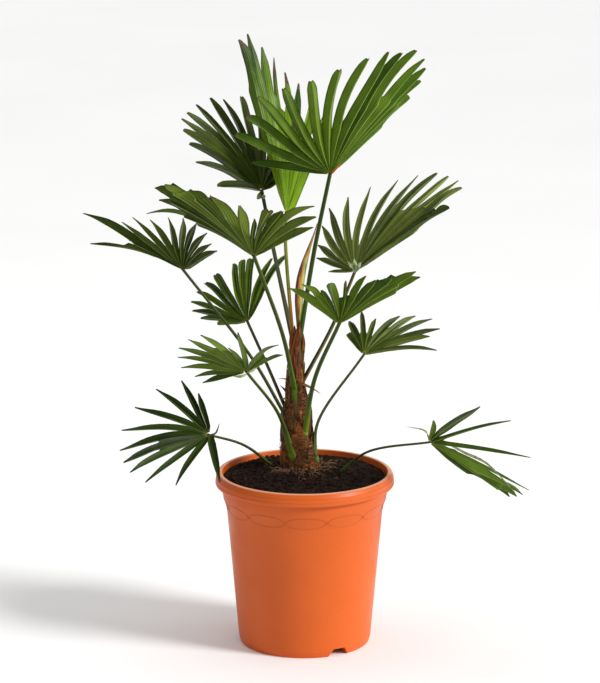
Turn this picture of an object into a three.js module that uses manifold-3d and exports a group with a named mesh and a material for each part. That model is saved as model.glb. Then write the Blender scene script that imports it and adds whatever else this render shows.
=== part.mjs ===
// Potted windmill palm with stiff fan fronds, in a tapered orange nursery pot.
// Millimetres, +Z up. The origin is the centre of the pot's flat underside.
// The viewer of the front stands on the -Y side, with +X to the right.

import * as THREE from 'three';
import { mergeGeometries, mergeVertices } from 'three/addons/utils/BufferGeometryUtils.js';
import Module from 'manifold-3d';

const wasm = await Module();
wasm.setup();

// Clear gap between pieces that touch
const gap = 0.3;

// Pot: heights and radii of the wall, measured at the outside
const potHeight = 258;
const footRadius = 96;
const footRingWidth = 12;
const footRecess = 12;
const bossRadius = 42;
const ringDraft = 1.5;
const cornerHeight = 10;
const bodyFootRadius = 98;
const bodyTopRadius = 115;
const bodyTopHeight = 203;
const collarRadius = 121.5;
const collarHeight = 226;
const bandFootHeight = 238.5;
const bandRadius = 131.7;
const bandRounding = 3.5;
const bandBulge = 9;
const lipDrop = 5;
const lipRadius = 126.5;
const mouthRadius = 122;
const lipRounding = 1;
const wallThickness = 3;
const floorCorner = 4;
const potSides = 48;

// Drain notches cut through the foot ring
const notchCount = 3;
const notchTurn = -59;
const notchWidthFoot = 35;
const notchWidthTop = 19;
const notchHeight = 11.4;
const notchBelow = 2;
const notchSpare = 6;

// Compost: level at the wall, and a low heap with a flat seat round the trunk
const soilLevel = 249;
const heapLevel = 259;
const heapSeat = 46;
const heapReach = 96;
const lumpHeight = 1.1;
const lumpLength = 10;
const soilClear = 0.6;
const soilSides = 36;
const soilRims = [98, 78, 58, 38, 18, 0];

// Trunk: height, centre and radius, from the flat cut at the compost to the tip
const trunkRings = [
  { z: 259.3, x: -6, y: 25, radius: 29.5 },
  { z: 270, x: -7, y: 25, radius: 27 },
  { z: 304, x: -11, y: 23, radius: 23.5 },
  { z: 337, x: -12.5, y: 22, radius: 21 },
  { z: 360, x: -12, y: 21, radius: 16 },
  { z: 385, x: -14, y: 20, radius: 12.5 },
  { z: 422, x: -13, y: 18, radius: 10.5 },
  { z: 458, x: -11, y: 16, radius: 8.5 },
];
const trunkSides = 16;
const trunkSwell = 0.05;
const swellHeight = 17;
const sheathSides = 6;

// Pointed ends of old leaf sheaths: foot on the trunk, point and radius of the foot
const sheathPoints = [
  { foot: [-8, 14, 450], point: [-8, 10, 481], radius: 7 },
  { foot: [-15, 19, 446], point: [-20, 20, 470], radius: 4 },
  { foot: [-2, 18, 384], point: [26, 14, 374], radius: 4 },
  { foot: [-20, 17, 390], point: [-40, 10, 396], radius: 2.5 },
  { foot: [-22, 17, 366], point: [-42, 18, 380], radius: 3 },
  { foot: [-2, 30, 352], point: [10, 50, 368], radius: 4 },
  { foot: [-14, 27, 396], point: [-18, 40, 416], radius: 3 },
];

// Stalks: a frond's stout is its half width in the middle. It widens to the clasping foot and
// narrows to the blade, and it is flatter than wide. Its foot is sunk this deep in the trunk,
// then cut clear of it, as its end in the open middle of the knot is cut clear of the blade. Edges
// of a cut that are shorter than the sliver size are closed up.
const stalkFootShare = 1.5;
const stalkTipShare = 0.78;
const stalkFlatness = 0.76;
const claspEnd = 0.3;
const stalkSteps = 9;
const stalkSides = 8;
const seatDepth = 2.5;
const endPastKnot = 2.8;
const stalkSliver = 0.03;

// Blades: sheet thickness, thicker at the knot where the fingers meet, and depth of each fold
const bladeThickness = 2.4;
const knotThickness = 2.6;
const knotReach = 14;
const foldDepth = 0.35;

// Fingers: start, share of the length that is joined, where the taper begins, blunt tip. The fan's
// outer margins have no neighbour, so they flare from the knot by an angle of their own.
const fingerStart = 4;
const joinedShare = 0.42;
const shoulderShare = 0.75;
const tipShare = 0.55;
const outerHalfPitch = 8;
const outerFlare = 0.45;
const splitWidth = 0.4;
const lastRing = 4;
const joinedLimit = 0.8;

// Fronds: foot, bend and half width of the stalk, knot of the blade, then how the blade faces.
// facing and rise aim its middle line, roll tips it about that line, cup lifts its sides,
// sag bends its ends down, wide is a finger's width. Each finger is [angle, length].
const fronds = [
  {
    name: 'youngest', foot: [-24, 11, 452], bend: [-28, 14, 600], knot: [-27, 15, 642],
    stout: 3, facing: 125, rise: 69, roll: -33, cup: 0.2, sag: 0.03, wide: 15, green: '#6d9a35',
    fingers: [[8, 268], [0, 277], [-9, 262], [-17, 255], [-24, 243], [-33, 246], [-42, 242], [-50, 249]],
  },
  {
    name: 'back_left', foot: [-21, 33, 440], bend: [-46, 54, 580], knot: [-63, 70, 664],
    stout: 3.4, facing: 135, rise: 57, roll: -9, cup: 0.35, sag: 0.14, wide: 14, green: '#3c5f24',
    fingers: [
      [84, 153], [68, 172], [55, 170], [46, 180], [38, 186], [30, 180], [18, 178], [4, 181], [-5, 176],
      [-18, 190], [-27, 190], [-40, 170], [-53, 140], [-68, 80],
    ],
  },
  {
    name: 'front_left', foot: [-16, 2, 378], bend: [-32, -48, 475], knot: [-72, -110, 604],
    stout: 4.1, facing: -81, rise: 52, roll: 19, cup: 0.68, sag: 0.29, wide: 17, green: '#55703c',
    fingers: [
      [-102, 258], [-82, 192], [-64, 200], [-53, 196], [-43, 165], [-32, 147], [-15, 129], [-5, 95],
      [4, 135], [11, 143], [19, 205], [28, 158], [38, 120],
    ],
  },
  {
    name: 'far_left', foot: [-35, 12, 339], bend: [-79, -16, 436], knot: [-175, -50, 572],
    stout: 3.2, facing: -122, rise: 46, roll: -10, cup: -0.24, sag: 0.12, wide: 13, green: '#44622a',
    fingers: [
      [-44, 146], [-22, 202], [-14, 146], [-5, 153], [4, 142], [16, 158], [24, 171], [31, 170],
      [38, 150], [45, 122], [52, 112],
    ],
  },
  {
    name: 'rear_left', foot: [-35, 26, 347], bend: [-51, 30, 401], knot: [-84, 40, 474],
    stout: 3, facing: 78, rise: 32, roll: 12, cup: 0.28, sag: 0.11, wide: 12, green: '#35521d',
    fingers: [
      [106, 45], [87, 72], [74, 93], [62, 110], [50, 123], [40, 135], [31, 147], [19, 163], [12, 170],
      [5, 164], [-3, 157], [-11, 164],
    ],
  },
  {
    name: 'low_left', foot: [-21, -3, 278], bend: [-36, -4, 340], knot: [-84, -90, 431],
    stout: 3.4, facing: -100, rise: 42, roll: 4, cup: -0.13, sag: 0.12, wide: 13, green: '#587a3a',
    fingers: [
      [-107, 70], [-93, 76], [-76, 95], [-60, 107], [-46, 120], [-31, 132], [-20, 139], [-11, 80],
      [4, 158], [27, 147], [37, 111],
    ],
  },
  {
    name: 'hanging_left', foot: [-44, 24, 256], bend: [-89, -10, 300], knot: [-139, -45, 325],
    stout: 2.6, facing: -133, rise: -4, roll: 21, cup: 0.48, sag: 0.11, wide: 11, green: '#3f5f26',
    fingers: [
      [50, 137], [25, 143], [9, 157], [-2, 157], [-10, 153], [-19, 147], [-34, 135], [-54, 120],
      [-76, 110], [-98, 100], [-110, 70],
    ],
  },
  {
    name: 'hanging_right', foot: [48, 9, 250], bend: [92, -18, 292], knot: [181, -60, 318],
    stout: 2.5, facing: -54, rise: 15, roll: 58, cup: 0.34, sag: 0, wide: 11, green: '#4c6e30',
    fingers: [
      [-43, 52], [-18, 174], [-7, 216], [12, 203], [42, 167], [54, 156], [65, 150], [79, 150],
    ],
  },
  {
    name: 'low_right', foot: [22, 14, 271], bend: [19, 12, 328], knot: [86, 0, 434],
    stout: 2.9, facing: 2, rise: 28, roll: -12, cup: 0.4, sag: 0.2, wide: 11, green: '#44652b',
    fingers: [
      [100, 55], [86, 90], [74, 121], [61, 90], [42, 106], [32, 120], [20, 132], [3, 128], [-8, 108],
      [-30, 130],
    ],
  },
  {
    name: 'front_right', foot: [5, -1, 312], bend: [14, -33, 404], knot: [49, -100, 504],
    stout: 3.5, facing: -46, rise: 45, roll: 9, cup: 0.59, sag: 0.15, wide: 14, green: '#4d7a2a',
    fingers: [
      [-60, 136], [-51, 144], [-43, 111], [-36, 135], [-27, 141], [-17, 157], [-8, 135], [1, 144],
      [11, 170], [28, 148],
    ],
  },
  {
    name: 'rear_right', foot: [3, 22, 386], bend: [42, 40, 471], knot: [74, 60, 546],
    stout: 3.4, facing: 36, rise: 43, roll: 3, cup: 0.2, sag: 0.09, wide: 12, green: '#44632d',
    fingers: [
      [114, 45], [90, 86], [77, 110], [65, 150], [57, 188], [47, 194], [36, 200], [22, 201], [12, 209],
      [2, 217], [-6, 216], [-14, 217], [-21, 211], [-31, 177],
    ],
  },
  {
    name: 'top_right', foot: [-4, 3, 448], bend: [14, -28, 597], knot: [36, -60, 714],
    stout: 4.1, facing: -59, rise: 61, roll: -5, cup: 0.6, sag: 0.1, wide: 17, green: '#4f7b2a',
    fingers: [
      [-90, 116], [-65, 175], [-53, 196], [-43, 226], [-34, 220], [-24, 214], [-13, 222], [-2, 234],
      [6, 243], [13, 238], [20, 244], [30, 230], [38, 217], [46, 199], [56, 176],
    ],
  },
];

// Closed spear leaf: foot, bend, point, and half width at its foot and widest part
const spear = { foot: [-9, 18, 458.8], bend: [-6, 8, 545], point: [18, 3, 629], footWidth: 3, width: 6.2 };
const spearFlatness = 0.7;
const spearTipShare = 0.12;
const spearWiden = 0.35;
const spearNarrow = 0.45;

const degrees = Math.PI / 180;

function smooth(from, to, value) {
  const t = Math.min(1, Math.max(0, (value - from) / (to - from)));
  return t * t * (3 - 2 * t);
}

function mix(a, b, t) {
  return a + (b - a) * t;
}

// Turns a closed geometry into a solid that can be cut and joined
function toSolid(geometry) {
  const bare = geometry.clone();
  bare.deleteAttribute('normal');
  bare.deleteAttribute('uv');
  const merged = mergeVertices(bare, 1e-5);
  return new wasm.Manifold(new wasm.Mesh({
    numProp: 3,
    vertProperties: new Float32Array(merged.attributes.position.array),
    triVerts: new Uint32Array(merged.index.array),
  }));
}

// The largest body of a solid that cutting may have split
function largest(solid) {
  return solid.decompose().sort((a, b) => b.volume() - a.volume())[0];
}

function fromSolid(solid) {
  const mesh = solid.getMesh();
  const geometry = new THREE.BufferGeometry();
  const corners = new Float32Array(mesh.numVert * 3);
  for (let i = 0; i < mesh.numVert; i++) {
    for (let k = 0; k < 3; k++) {
      corners[3 * i + k] = mesh.vertProperties[mesh.numProp * i + k];
    }
  }
  geometry.setAttribute('position', new THREE.BufferAttribute(corners, 3));
  geometry.setIndex(new THREE.BufferAttribute(new Uint32Array(mesh.triVerts), 1));
  geometry.computeVertexNormals();
  return geometry;
}

// Moves every vertex of a geometry to the place that a function gives it
function reshape(geometry, place) {
  const position = geometry.attributes.position;
  const vertex = new THREE.Vector3();
  for (let i = 0; i < position.count; i++) {
    vertex.fromBufferAttribute(position, i);
    const moved = place(vertex);
    position.setXYZ(i, moved.x, moved.y, moved.z);
  }
  return geometry;
}

function named(name, geometry, colour, roughness) {
  const material = new THREE.MeshStandardMaterial({
    color: colour,
    roughness,
    metalness: 0,
    flatShading: true,
  });
  const mesh = new THREE.Mesh(geometry, material);
  mesh.name = name;
  return mesh;
}

// A lathe turned round +Z from a profile of radii and heights that starts and ends on the axis
function turned(profile, sides) {
  const points = profile.map(([radius, height]) => new THREE.Vector2(radius, height));
  return new THREE.LatheGeometry(points, sides).rotateX(Math.PI / 2);
}

// The pot: foot ring and boss, tapered body, collar, rolled rim band, lip and the hollow
function potProfile() {
  const ringInside = footRadius - footRingWidth;
  const floorTop = footRecess + wallThickness;
  const bandTop = potHeight - lipDrop;
  return [
    [0, 0],
    [bossRadius, 0],
    [bossRadius + ringDraft, footRecess],
    [ringInside - ringDraft, footRecess],
    [ringInside, 0],
    [footRadius, 0],
    [bodyFootRadius, cornerHeight],
    [bodyTopRadius, bodyTopHeight],
    [collarRadius, collarHeight],
    [collarRadius, bandFootHeight],
    [bandRadius - bandRounding / 2, bandFootHeight],
    [bandRadius, bandFootHeight + bandRounding],
    [bandRadius, bandFootHeight + bandBulge],
    [bandRadius - bandRounding / 2, bandTop],
    [lipRadius, potHeight - lipRounding / 2],
    [lipRadius - lipRounding, potHeight],
    [mouthRadius + lipRounding, potHeight],
    [mouthRadius, potHeight - lipRounding],
    [collarRadius - wallThickness, collarHeight],
    [bodyTopRadius - wallThickness, bodyTopHeight],
    [bodyFootRadius - wallThickness, floorTop + floorCorner],
    [bodyFootRadius - wallThickness - floorCorner, floorTop],
    [0, floorTop],
  ];
}

function potShape() {
  let solid = toSolid(turned(potProfile(), potSides));
  const outline = new THREE.Shape();
  outline.moveTo(-notchWidthFoot / 2, -notchBelow);
  outline.lineTo(notchWidthFoot / 2, -notchBelow);
  outline.lineTo(notchWidthTop / 2, notchHeight);
  outline.lineTo(-notchWidthTop / 2, notchHeight);
  outline.closePath();
  const reach = footRingWidth + 2 * notchSpare;
  for (let i = 0; i < notchCount; i++) {
    const notch = new THREE.ExtrudeGeometry(outline, { depth: reach, bevelEnabled: false });
    notch.rotateX(Math.PI / 2);
    notch.translate(0, footRingWidth + notchSpare - footRadius, 0);
    notch.rotateZ((notchTurn + 90) * degrees + (i * 2 * Math.PI) / notchCount);
    solid = solid.subtract(toSolid(notch));
  }
  return solid;
}

// Height of the compost: level by the wall, heaped round the trunk, flat where the trunk stands
function soilHeight(x, y) {
  const away = Math.hypot(x - trunkRings[0].x, y - trunkRings[0].y);
  const heap = 1 - smooth(heapSeat, heapReach, away);
  const ripple = Math.sin(x / lumpLength + 1) * Math.cos(y / lumpLength);
  const lumps = lumpHeight * ripple * smooth(heapSeat, heapReach, away);
  return mix(soilLevel, heapLevel, heap) + lumps;
}

// The compost fills the pot's hollow a little clear of its wall
function soilShape(raise) {
  const inset = wallThickness + soilClear;
  const floor = footRecess + wallThickness + gap;
  const profile = [
    [0, floor],
    [bodyFootRadius - inset - floorCorner, floor],
    [bodyFootRadius - inset, floor + floorCorner],
    [bodyTopRadius - inset, bodyTopHeight],
    [collarRadius - inset, collarHeight],
    [collarRadius - inset, soilLevel],
    ...soilRims.map((radius) => [radius, soilLevel]),
  ];
  return toSolid(reshape(turned(profile, soilSides), (v) => {
    if (v.z < soilLevel) return v;
    return v.set(v.x, v.y, soilHeight(v.x, v.y) + raise);
  }));
}

// Centre and radius of the trunk at a height
function trunkAt(height) {
  const below = trunkRings.filter((ring) => ring.z <= height).length - 1;
  const i = Math.min(Math.max(below, 0), trunkRings.length - 2);
  const [low, high] = [trunkRings[i], trunkRings[i + 1]];
  const t = (height - low.z) / (high.z - low.z);
  return { x: mix(low.x, high.x, t), y: mix(low.y, high.y, t), radius: mix(low.radius, high.radius, t) };
}

// The trunk: flared at its foot, slightly leaning, with the pointed ends of old sheaths.
// Grown a little, it gives the shape that clears room for the stalks.
function trunkShape(grow) {
  const last = trunkRings.length - 1;
  const stack = new THREE.CylinderGeometry(1, 1, 1, trunkSides, last).rotateX(Math.PI / 2);
  reshape(stack, (v) => {
    const ring = trunkRings[Math.round((v.z + 0.5) * last)];
    const end = ring === trunkRings[0] ? -grow : ring === trunkRings[last] ? grow : 0;
    const swell = 1 + trunkSwell * Math.sin(3 * Math.atan2(v.y, v.x) + ring.z / swellHeight);
    const radius = ring.radius * swell + grow;
    return v.set(ring.x + v.x * radius, ring.y + v.y * radius, ring.z + end);
  });
  let solid = toSolid(stack);
  for (const { foot, point, radius } of sheathPoints) {
    const from = new THREE.Vector3(...foot);
    const along = new THREE.Vector3(...point).sub(from);
    const length = along.length() + 4 * grow;
    const cone = new THREE.ConeGeometry(radius + grow, length, sheathSides);
    cone.translate(0, length / 2, 0);
    const upright = new THREE.Vector3(0, 1, 0);
    cone.applyQuaternion(new THREE.Quaternion().setFromUnitVectors(upright, along.normalize()));
    cone.translate(...foot);
    solid = solid.add(toSolid(cone));
  }
  return solid;
}

// A tapering limb along a curve: a cylinder whose rings are laid square to the curve
function limbShape(curve, sizeAt, across) {
  const tube = new THREE.CylinderGeometry(1, 1, 1, stalkSides, stalkSteps).rotateX(Math.PI / 2);
  return reshape(tube, (v) => {
    const t = v.z + 0.5;
    const centre = curve.getPoint(t);
    const along = curve.getTangent(t);
    const side = across.clone().addScaledVector(along, -across.dot(along)).normalize();
    const up = new THREE.Vector3().crossVectors(along, side);
    const [width, depth] = sizeAt(t);
    return centre.addScaledVector(side, v.x * width).addScaledVector(up, v.y * depth);
  });
}

// Where a stalk is seated: in the trunk beside its foot, or in the compost if it comes out of that
function stalkSeat({ foot }) {
  const [x, y, z] = foot;
  if (z < heapLevel) return new THREE.Vector3(x, y, z);
  const trunk = trunkAt(z);
  const out = new THREE.Vector2(x - trunk.x, y - trunk.y).setLength(trunk.radius - seatDepth);
  return new THREE.Vector3(trunk.x + out.x, trunk.y + out.y, z);
}

function stalkShape(frond, bars) {
  const foot = stalkSeat(frond);
  const bend = new THREE.Vector3(...frond.bend);
  const knot = new THREE.Vector3(...frond.knot);
  const end = knot.clone().addScaledVector(knot.clone().sub(bend).normalize(), endPastKnot);
  const curve = new THREE.CatmullRomCurve3([foot, bend, end], false, 'centripetal');
  const away = knot.clone().sub(foot).setZ(0).normalize();
  const across = new THREE.Vector3(0, 0, 1).cross(away);
  const sizeAt = (t) => {
    const clasp = 1 - smooth(0, claspEnd, t);
    const width = frond.stout * (mix(1, stalkTipShare, t) + clasp * (stalkFootShare - 1));
    return [width, frond.stout * stalkFlatness * mix(1, stalkTipShare, t)];
  };
  let solid = toSolid(limbShape(curve, sizeAt, across));
  for (const bar of bars) solid = solid.subtract(bar);
  return largest(solid.asOriginal().simplify(stalkSliver));
}

// Axes of a blade: its middle line, its left and its upper side
function bladeAxes({ facing, rise, roll }) {
  const a = facing * degrees;
  const e = rise * degrees;
  const middle = new THREE.Vector3(Math.cos(a) * Math.cos(e), Math.sin(a) * Math.cos(e), Math.sin(e));
  const level = new THREE.Vector3(-Math.cos(a) * Math.sin(e), -Math.sin(a) * Math.sin(e), Math.cos(e));
  const left = new THREE.Vector3().crossVectors(level, middle);
  const upper = level.multiplyScalar(Math.cos(roll * degrees));
  upper.addScaledVector(left, Math.sin(roll * degrees));
  return { middle, upper, side: new THREE.Vector3().crossVectors(upper, middle) };
}

function fanDirection(axes, cup, angle) {
  return axes.middle.clone().multiplyScalar(Math.cos(angle))
    .addScaledVector(axes.side, Math.sin(angle))
    .addScaledVector(axes.upper, (1 - Math.cos(angle)) * cup)
    .normalize();
}

// A point of the cupped and sagging blade, by its distance from the knot, angle and lift
function bladePoint(frond, axes, longest, distance, angle, lift) {
  const direction = fanDirection(axes, frond.cup, angle);
  const beside = fanDirection(axes, frond.cup, angle + 0.01).sub(direction);
  const up = new THREE.Vector3().crossVectors(direction, beside).normalize();
  const point = new THREE.Vector3(...frond.knot).addScaledVector(direction, distance);
  point.addScaledVector(up, lift);
  point.z -= (frond.sag * distance * distance) / longest;
  return point;
}

// Where one edge of a finger runs at a ring of corners: its distance from the knot, its angle
// in radians, and whether the neighbour on that side shares the corner. The rings are the start,
// the end of the knot, the end of the joined part, the shoulder and the blunt tip.
function edgeAt(frond, i, edge, ring) {
  const [angle, length] = frond.fingers[i];
  const order = Math.sign(frond.fingers[1][0] - frond.fingers[0][0]);
  const beside = frond.fingers[i + edge * order];
  const [otherAngle, otherLength] = beside ?? [angle + 2 * edge * outerHalfPitch, length];
  const halfPitch = (Math.abs(otherAngle - angle) / 2) * degrees;
  const shorter = Math.min(length, otherLength);
  const joined = Math.min((joinedShare * (length + otherLength)) / 2, joinedLimit * shorter);
  const own = mix(joinedShare * length, length, shoulderShare);
  const distance = [fingerStart, knotReach, joined, own, length][ring];
  const half = (frond.wide / 2) * (ring === lastRing ? tipShare : 1);
  if (ring < 3 && beside && half > distance * halfPitch) {
    return { distance, turn: ((angle + otherAngle) / 2) * degrees, shared: true };
  }
  const flare = beside ? half : distance * outerFlare;
  const room = ring < 3 ? flare : distance * halfPitch - splitWidth * (ring - 2);
  return { distance, turn: angle * degrees + (edge * Math.min(half, room)) / distance, shared: false };
}

// One finger of a blade: a box folded down along its middle. Its side walls are left out where a
// neighbour shares the edge, so that the fingers of a blade weld into one closed skin. A finger
// that is grown, to clear room for the stalk, keeps all its walls.
function fingerShape(frond, axes, longest, i, grow) {
  const box = new THREE.BoxGeometry(1, 1, 1, 2, 1, lastRing);
  const ringOf = (z) => Math.round((z + 0.5) * lastRing);
  const faces = [];
  const position = box.attributes.position;
  const corners = box.index.array;
  for (let k = 0; k < corners.length; k += 3) {
    const face = [corners[k], corners[k + 1], corners[k + 2]];
    const onSide = [-1, 1].find((edge) => face.every((c) => position.getX(c) * edge > 0.4));
    const inside = !grow && onSide && face.every((c) => edgeAt(frond, i, onSide, ringOf(position.getZ(c))).shared);
    if (!inside) faces.push(...face);
  }
  box.setIndex(faces);
  return reshape(box, (v) => {
    const ring = ringOf(v.z);
    const edge = Math.sign(v.x);
    const thickness = (ring === 0 ? knotThickness : bladeThickness) + 2 * grow;
    const inward = ring === 0 ? grow : 0;
    if (edge !== 0) {
      const { distance, turn } = edgeAt(frond, i, edge, ring);
      const wider = (edge * grow) / distance;
      return bladePoint(frond, axes, longest, distance - inward, turn + wider, v.y * thickness);
    }
    const low = edgeAt(frond, i, -1, ring);
    const high = edgeAt(frond, i, 1, ring);
    const distance = (low.distance + high.distance) / 2;
    const fold = (foldDepth * distance * (high.turn - low.turn)) / 2;
    const turn = frond.fingers[i][0] * degrees;
    return bladePoint(frond, axes, longest, distance - inward, turn, v.y * thickness - fold);
  });
}

function fingerShapes(frond, grow) {
  const axes = bladeAxes(frond);
  const longest = Math.max(...frond.fingers.map(([, length]) => length));
  return frond.fingers.map((finger, i) => fingerShape(frond, axes, longest, i, grow));
}

function bladeShape(frond) {
  const skin = mergeGeometries(fingerShapes(frond, 0));
  skin.deleteAttribute('normal');
  skin.deleteAttribute('uv');
  const blade = mergeVertices(skin, 1e-4);
  blade.computeVertexNormals();
  return blade;
}

function spearShape() {
  const curve = new THREE.CatmullRomCurve3([
    new THREE.Vector3(...spear.foot),
    new THREE.Vector3(...spear.bend),
    new THREE.Vector3(...spear.point),
  ]);
  const sizeAt = (t) => {
    const body = mix(spear.footWidth, spear.width, smooth(0, spearWiden, t));
    const width = body * mix(1, spearTipShare, smooth(spearNarrow, 1, t));
    return [width, width * spearFlatness];
  };
  return limbShape(curve, sizeAt, new THREE.Vector3(1, 0, 0));
}

const palm = new THREE.Group();
const pot = potShape();
const soil = soilShape(0);
const trunk = trunkShape(0);
const bars = [trunkShape(gap), soilShape(gap)];

palm.add(named('pot', fromSolid(pot), '#e0703a', 0.5));
palm.add(named('compost', fromSolid(soil), '#2a1c15', 0.95));
palm.add(named('trunk', fromSolid(trunk), '#6a4128', 0.9));
palm.add(named('spear_leaf', fromSolid(toSolid(spearShape()).subtract(bars[0])), '#b08a45', 0.6));
for (const frond of fronds) {
  const stalk = stalkShape(frond, [...bars, ...fingerShapes(frond, gap).map(toSolid)]);
  palm.add(named(`stalk_${frond.name}`, fromSolid(stalk), '#4f6b2c', 0.55));
  palm.add(named(`blade_${frond.name}`, bladeShape(frond), frond.green, 0.55));
}

export default palm;
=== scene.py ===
import math
import random

import bpy
from mathutils import Matrix, Vector, noise


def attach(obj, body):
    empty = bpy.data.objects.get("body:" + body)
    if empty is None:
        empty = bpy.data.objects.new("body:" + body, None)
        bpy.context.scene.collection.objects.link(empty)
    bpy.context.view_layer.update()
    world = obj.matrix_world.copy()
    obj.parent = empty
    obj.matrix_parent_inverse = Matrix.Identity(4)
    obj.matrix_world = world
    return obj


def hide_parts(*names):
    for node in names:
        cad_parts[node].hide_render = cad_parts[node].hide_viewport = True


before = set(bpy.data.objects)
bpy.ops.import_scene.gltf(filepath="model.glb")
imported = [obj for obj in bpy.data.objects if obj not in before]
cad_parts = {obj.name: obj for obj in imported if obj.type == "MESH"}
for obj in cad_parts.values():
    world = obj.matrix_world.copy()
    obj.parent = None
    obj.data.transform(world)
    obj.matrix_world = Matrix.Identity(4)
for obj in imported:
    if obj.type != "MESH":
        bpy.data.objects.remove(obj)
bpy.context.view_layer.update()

mm = 0.001
random.seed(11)
stage = {
    "aim": (-0.007, 0.0, 0.454), "distance": 5.0, "elevation": 13.45, "lens": 180.5, "film": 36,
    "farEnd": 60, "floorHalf": 16.0, "floorDrop": 0.0002, "skyStrength": 0.5,
    "floorTones": ((247, 247, 246.4), (250.2, 250.2, 249.6)),
    # name, kind, place, breadth, power: a soft sun from the upper right, weak panels beside and above
    "lamps": [
        ("keyLight", "SUN", (3.3, -1.5, 2.5), 0.3, 3.2),
        ("sideLight", "AREA", (2.7, 0.5, 0.7), 1.4, 16),
        ("topLight", "AREA", (-0.6, 0.4, 3.0), 1.6, 14),
    ],
}


def log(words):
    print("palm:", words)


def clearSelection():
    if bpy.context.object and bpy.context.object.mode != "OBJECT":
        bpy.ops.object.mode_set(mode="OBJECT")
    bpy.ops.object.select_all(action="DESELECT")


def pick(piece):
    clearSelection()
    piece.select_set(True)
    bpy.context.view_layer.objects.active = piece


def mix(a, b, t):
    return a + (b - a) * t


def blend(a, b, t):
    return [mix(c, d, t) for c, d in zip(a, b)]


def smooth(low, high, value):
    t = min(1.0, max(0.0, (value - low) / (high - low)))
    return t * t * (3 - 2 * t)


# Even turns of a whole circle
def turnsOf(count):
    return [2 * math.pi * j / count for j in range(count)]


# Places given in millimetres, as points in metres
def metres(places):
    return [Vector(place) * mm for place in places]


# A place by its radius, turn and height
def polar(radius, turn, height=0.0):
    return Vector((radius * math.cos(turn), radius * math.sin(turn), height))


# Screen colour 0..255 to the renderer's own numbers
def linear(red, green, blue):
    def one(c):
        c /= 255
        return c / 12.92 if c <= 0.04045 else ((c + 0.055) / 1.055) ** 2.4
    return (one(red), one(green), one(blue), 1.0)


# Materials: a short helper that adds a node and sets or links its inputs
def addNode(tree, kind, inputs=None, **settings):
    node = tree.nodes.new(kind)
    for key, value in settings.items():
        setattr(node, key, value)
    for key, value in (inputs or {}).items():
        socket = node.inputs[key]
        if isinstance(value, bpy.types.NodeSocket):
            tree.links.new(value, socket)
        else:
            socket.default_value = value
    return node


def startMaterial(name, **shader):
    material = bpy.data.materials.new(name)
    material.use_nodes = True
    surface = material.node_tree.nodes["Principled BSDF"]
    for key, value in shader.items():
        surface.inputs[key.replace("_", " ")].default_value = value
    return material, material.node_tree


def objectNoise(tree, scale, detail=3.0, stretch=(1, 1, 1), rough=0.5):
    place = addNode(tree, "ShaderNodeTexCoord")
    turn = addNode(tree, "ShaderNodeMapping", {"Vector": place.outputs["Object"], "Scale": stretch})
    return addNode(tree, "ShaderNodeTexNoise", {
        "Vector": turn.outputs["Vector"], "Scale": scale, "Detail": detail, "Roughness": rough,
    }).outputs["Fac"]


# Each stop is a place from 0 to 1 and a screen colour
def rampOf(tree, value, *stops):
    ramp = addNode(tree, "ShaderNodeValToRGB", {"Fac": value})
    band = ramp.color_ramp
    for element, (position, *colour) in zip(band.elements, (stops[0], stops[-1])):
        element.position, element.color = position, linear(*colour)
    for position, *colour in stops[1:-1]:
        band.elements.new(position).color = linear(*colour)
    return ramp.outputs["Color"]


def mixColour(tree, factor, a, b):
    return addNode(tree, "ShaderNodeMix", {0: factor, 6: a, 7: b}, data_type="RGBA").outputs[2]


def sums(tree, operation, a, b=0.0):
    return addNode(tree, "ShaderNodeMath", {0: a, 1: b}, operation=operation).outputs[0]


# The sum of several values, each with its weight
def weighted(tree, *pairs):
    parts = [sums(tree, "MULTIPLY", value, weight) for value, weight in pairs]
    total = parts[0]
    for part in parts[1:]:
        total = sums(tree, "ADD", total, part)
    return total


def ranged(tree, value, low, high, newLow=0.0, newHigh=1.0):
    return addNode(tree, "ShaderNodeMapRange", {
        "Value": value, "From Min": low, "From Max": high, "To Min": newLow, "To Max": newHigh,
    }).outputs["Result"]


# Links colour and bump to a material's surface
def paint(material, colour, height=None, depth=0.0, strength=1.0, roughness=None):
    tree = material.node_tree
    surface = tree.nodes["Principled BSDF"]
    tree.links.new(colour, surface.inputs["Base Color"])
    if roughness is not None:
        tree.links.new(roughness, surface.inputs["Roughness"])
    if height is not None:
        bump = addNode(tree, "ShaderNodeBump", {"Height": height, "Distance": depth, "Strength": strength})
        tree.links.new(bump.outputs["Normal"], surface.inputs["Normal"])
    return material


def attribute(tree, name):
    return addNode(tree, "ShaderNodeAttribute", attribute_name=name).outputs["Fac"]


# A batch gathers corners, faces and per-corner values, and becomes one mesh piece
def newBatch(*values):
    return {"corners": [], "faces": [], "slots": [], "values": {name: [] for name in values}}


def addCorner(batch, place, **values):
    batch["corners"].append(tuple(place))
    for name, given in batch["values"].items():
        given.append(values.get(name, 0.0))
    return len(batch["corners"]) - 1


def addFace(batch, corners, slot=0):
    batch["faces"].append(corners)
    batch["slots"].append(slot)


# Faces between rings of corners that follow each other
def ringFaces(batch, rings, slot=0):
    for low, high in zip(rings, rings[1:]):
        for j in range(len(low)):
            k = (j + 1) % len(low)
            addFace(batch, (low[j], low[k], high[k], high[j]), slot)


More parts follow.
